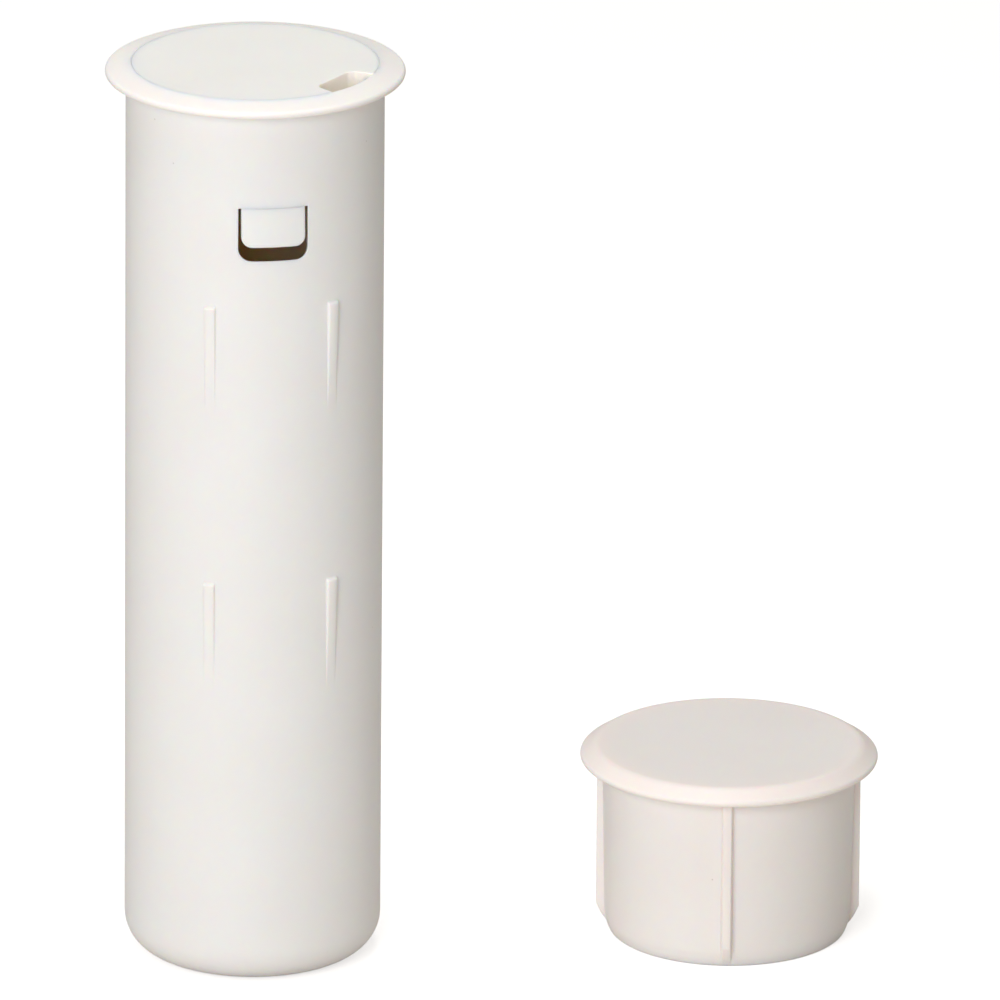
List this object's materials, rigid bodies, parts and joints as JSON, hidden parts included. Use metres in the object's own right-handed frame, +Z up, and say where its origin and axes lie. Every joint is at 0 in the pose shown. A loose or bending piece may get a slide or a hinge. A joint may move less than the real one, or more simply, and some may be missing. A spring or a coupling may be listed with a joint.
{
  "type": "fire blanket",
  "caption": "Flanged plastic canister with a flush lift-off lid and a spring tongue, holding a rolled fire blanket with pull tapes, and the matching blanking plug.",
  "frame": {"origin": "centre of the canister's flat base, on the surface that it stands on", "axes": "+Z up along the canister's axis; the window with the spring tongue faces -Y; the blanking plug stands on the +X side"},
  "size_m": [0.243, 0.0975, 0.29],
  "materials": {
    "canister_plastic": "satin moulded",
    "lid_plastic": "satin moulded",
    "plug_plastic": "satin moulded",
    "glass_cloth": "plain woven glass-fibre cloth",
    "tape_webbing": "woven webbing"
  },
  "bodies": {
    "canister": {"canister_body": "canister_plastic"},
    "tongue": {"spring_tongue": "canister_plastic"},
    "blanket": {"blanket_roll": "glass_cloth", "pull_tape_left": "tape_webbing", "pull_tape_right": "tape_webbing"},
    "lid": {"lid": "lid_plastic"},
    "plug": {"blanking_plug": "plug_plastic"}
  },
  "joints": [
    {"name": "tongue_flex", "type": "hinge", "parent": "canister", "child": "tongue", "pos_m": [0, -0.0382, 0.2552], "axis": [1, 0, 0], "range_deg": [-4, 10], "stiffness_Nm_per_rad": 0.2},
    {"name": "blanket_pull", "type": "slide", "parent": "canister", "child": "blanket", "axis": [0, 0, 1], "range_m": [0, 0.3]},
    {"name": "lid_lift", "type": "slide", "parent": "blanket", "child": "lid", "axis": [0, 0, 1], "range_m": [0, 0.1]},
    {"name": "plug_lift", "type": "slide", "parent": "canister", "child": "plug", "axis": [0, 0, 1], "range_m": [0, 0.1]}
  ]
}
